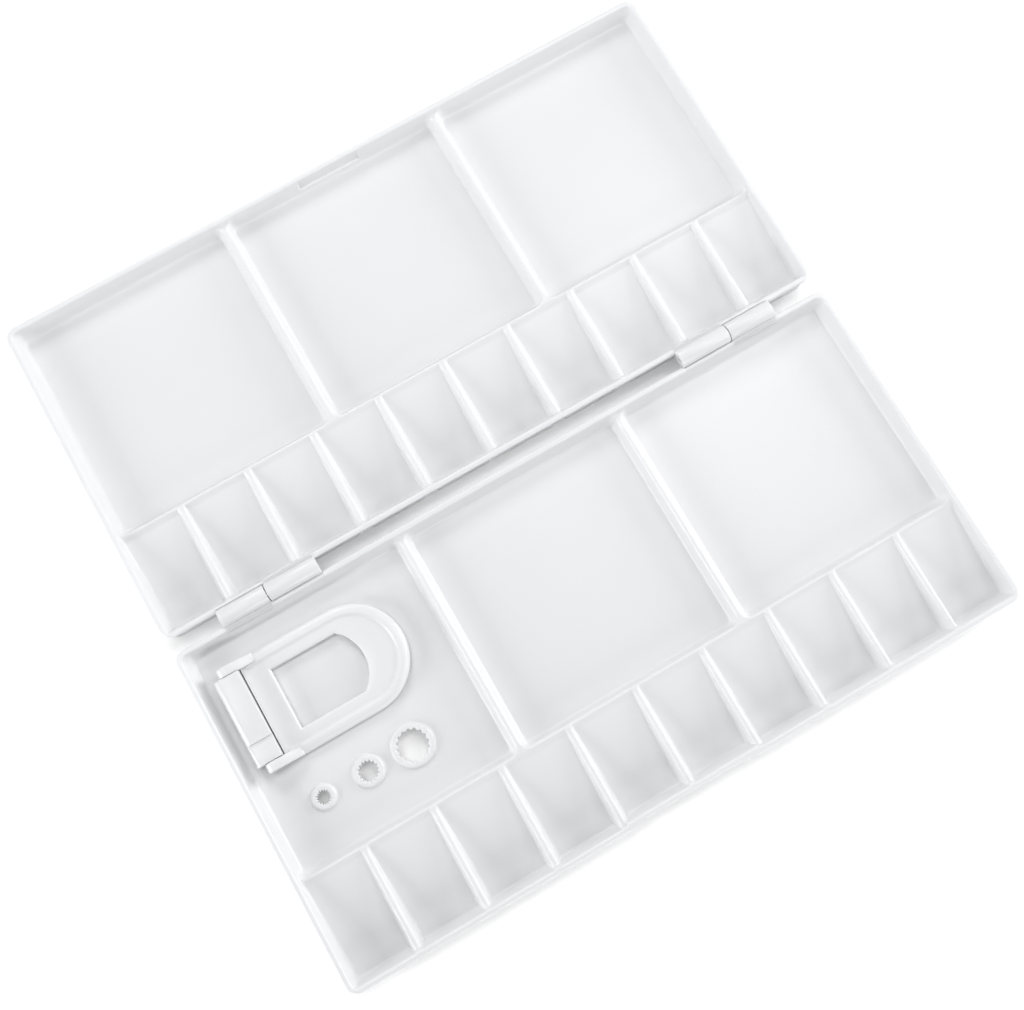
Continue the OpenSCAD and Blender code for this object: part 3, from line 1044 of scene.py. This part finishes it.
def painted_edge_highlight(tree, unevenness):
    """Factor for a painted highlight: rises where the surface bends sharply, on edges and creases alike,
    broken up by a noise.
    """
    bevel = tree.nodes.new("ShaderNodeBevel")
    bevel.samples = 4
    bevel.inputs["Radius"].default_value = 0.0004
    geometry = tree.nodes.new("ShaderNodeNewGeometry")
    compare = tree.nodes.new("ShaderNodeVectorMath")
    compare.operation = "DISTANCE"
    tree.links.new(bevel.outputs["Normal"], compare.inputs[0])
    tree.links.new(geometry.outputs["Normal"], compare.inputs[1])
    highlight_factor = tree.nodes.new("ShaderNodeMath")
    highlight_factor.operation = "MULTIPLY"
    highlight_factor.use_clamp = True
    tree.links.new(compare.outputs["Value"], highlight_factor.inputs[0])
    tree.links.new(unevenness, highlight_factor.inputs[1])
    return highlight_factor.outputs["Value"]


def add_bump(tree, shader, height, strength, distance):
    bump = tree.nodes.new("ShaderNodeBump")
    bump.inputs["Strength"].default_value = strength
    bump.inputs["Distance"].default_value = distance
    tree.links.new(height, bump.inputs["Height"])
    tree.links.new(bump.outputs["Normal"], shader.inputs["Normal"])


def white_plastic(name, seed):
    """Glossy white moulding: faint cloudy tint, uneven gloss, fine ripple, and a painted highlight of
    lighter colour on sharp bends.
    """
    material, tree, shader = node_material(name)
    where = mapped_place(tree, (seed, seed * 0.7, seed * 0.3), (1, 1, 1))
    ripple = add_noise(tree, 900, 4, where)
    gloss = add_noise(tree, 60, 4, where)
    # Painted highlight: a lighter colour laid on sharp bends, so that rims, divider tops and creases look
    # brighter than the body.
    edge_highlighted = colour_mix(tree, painted_edge_highlight(tree, gloss))
    edge_highlighted.inputs[7].default_value = (0.80, 0.803, 0.81, 1)
    body = cloudy_colour(tree, where, 18, (0.716, 0.722, 0.734), (0.728, 0.733, 0.744))
    tree.links.new(body, edge_highlighted.inputs[6])
    tree.links.new(edge_highlighted.outputs[2], shader.inputs["Base Color"])
    tree.links.new(map_value(tree, gloss, 0.30, 0.36), shader.inputs["Roughness"])
    shader.inputs["IOR"].default_value = 1.49
    shader.inputs["Subsurface Weight"].default_value = 0.35
    shader.inputs["Subsurface Radius"].default_value = (1.0, 1.0, 1.0)
    shader.inputs["Subsurface Scale"].default_value = 0.0015
    add_bump(tree, shader, ripple, 0.06, 0.0002)
    return material


def drawn_steel(name):
    """Steel wire: metal with fine lengthwise scratches and uneven shine."""
    material, tree, shader = node_material(name)
    scratch = add_noise(tree, 2500, 3, mapped_place(tree, (0, 0, 0), (0.15, 1, 1)))
    where = mapped_place(tree, (0, 0, 0), (1, 1, 1))
    body = cloudy_colour(tree, where, 120, (0.60, 0.61, 0.63), (0.74, 0.75, 0.76))
    tree.links.new(body, shader.inputs["Base Color"])
    tree.links.new(map_value(tree, scratch, 0.22, 0.42), shader.inputs["Roughness"])
    shader.inputs["Metallic"].default_value = 1.0
    add_bump(tree, shader, scratch, 0.15, 0.0001)
    return material


def pale_ground(name):
    """Matt white floor that glows a little, so that shadows stay light."""
    material, tree, shader = node_material(name)
    shader.inputs["Base Color"].default_value = (0.97, 0.97, 0.97, 1)
    shader.inputs["Roughness"].default_value = 0.9
    shader.inputs["Specular IOR Level"].default_value = 0.1
    shader.inputs["Emission Color"].default_value = (1, 1, 1, 1)
    shader.inputs["Emission Strength"].default_value = 0.12
    return material


# ---- scene ----

def build_object():
    """Build the seven pieces and give each its material."""
    tray_plastic = white_plastic("white_tray_plastic", 0.0)
    ring_plastic = white_plastic("white_ring_plastic", 3.1)
    steel = drawn_steel("drawn_steel")
    pieces = [
        (build_tray("lower_tray_moulding", False, "base", "lower_tray"), tray_plastic),
        (build_tray("lid_tray_moulding", True, "lid", "upper_tray"), tray_plastic),
        (build_thumb_ring(), ring_plastic),
        (build_ring_bar(), ring_plastic),
        (build_pin("left_tray_pin", "left_hinge_pin", "x"), steel),
        (build_pin("right_tray_pin", "right_hinge_pin", "x"), steel),
        (build_pin("ring_pin", "ring_pivot_pin", "y"), steel),
    ]
    for piece, material in pieces:
        piece.data.materials.append(material)


# The stage below is in metres.
GROUND_HALF = 3.0
SOFTBOX_DISTANCE = 1.2
SOFTBOX_SIZE = 0.4
STUDIO_GLOW = 0.23

# Softboxes round the palette: compass angle from +X, elevation, watts.
SOFTBOXES = {
    "left_low": (180, 14, 8.4),
    "right_low": (0, 14, 8.0),
    "front_low": (270, 14, 4.0),
    "back_mid": (90, 38, 4.8),
    "right_mid": (0, 38, 1.6),
    "front_right_mid": (315, 38, 2.2),
    "right_high": (30, 65, 2.4),
    "left_high": (150, 65, 2.3),
}

# The camera's place in metres and degrees, its sensor and lens in millimetres.
CAMERA_TARGET = (-0.0045, -0.0154, 0.010)
CAMERA_DISTANCE = 0.4448
CAMERA_HEADING = 26.766
CAMERA_ELEVATION = 78.901
CAMERA_ROLL = -3.305
CAMERA_SENSOR = 36.0
CAMERA_LENS = 45.457


def build_ground():
    low, high = -GROUND_HALF, GROUND_HALF
    mesh = bpy.data.meshes.new("ground")
    corners = [(low, low, 0), (high, low, 0), (high, high, 0), (low, high, 0)]
    mesh.from_pydata(corners, [], [(0, 1, 2, 3)])
    ground = bpy.data.objects.new("ground", mesh)
    bpy.context.scene.collection.objects.link(ground)
    ground.data.materials.append(pale_ground("pale_ground"))


def add_softbox(name, compass, elevation, power):
    """Area light aimed at the palette from a direction."""
    data = bpy.data.lights.new(name, "AREA")
    data.shape = "SQUARE"
    data.size = SOFTBOX_SIZE
    data.energy = power
    lamp = bpy.data.objects.new(name, data)
    turn = math.radians(compass)
    tilt = math.radians(elevation)
    level = math.cos(tilt)
    where = Vector((level * math.cos(turn), level * math.sin(turn), math.sin(tilt)))
    lamp.location = where * SOFTBOX_DISTANCE
    lamp.rotation_euler = (-where).to_track_quat("-Z", "Y").to_euler()
    bpy.context.scene.collection.objects.link(lamp)


def build_lights():
    world = bpy.data.worlds.new("studio")
    world.use_nodes = True
    background = world.node_tree.nodes["Background"]
    background.inputs["Color"].default_value = (1.0, 1.0, 1.0, 1)
    background.inputs["Strength"].default_value = STUDIO_GLOW
    bpy.context.scene.world = world
    for name, (compass, elevation, power) in SOFTBOXES.items():
        add_softbox(name, compass, elevation, power)


def build_camera():
    """Camera of the reference view: high, from the front left, with a small roll."""
    heading = math.radians(CAMERA_HEADING)
    elevation = math.radians(CAMERA_ELEVATION)
    roll = math.radians(CAMERA_ROLL)
    forward = Vector((
        math.cos(elevation) * math.sin(heading),
        math.cos(elevation) * math.cos(heading),
        -math.sin(elevation),
    ))
    level = forward.cross(Vector((0, 0, 1))).normalized()
    upright = level.cross(forward)
    right = level * math.cos(roll) + upright * math.sin(roll)
    up = right.cross(forward)
    turn = Matrix((right, up, -forward)).transposed().to_4x4()
    position = Vector(CAMERA_TARGET) - forward * CAMERA_DISTANCE
    data = bpy.data.cameras.new("camera")
    data.sensor_width = CAMERA_SENSOR
    data.lens = CAMERA_LENS
    data.clip_start = 0.01
    camera = bpy.data.objects.new("camera", data)
    camera.matrix_world = Matrix.Translation(position) @ turn
    bpy.context.scene.collection.objects.link(camera)
    bpy.context.scene.camera = camera


build_object()
build_ground()
build_lights()
build_camera()
bpy.context.scene.view_settings.view_transform = "Standard"
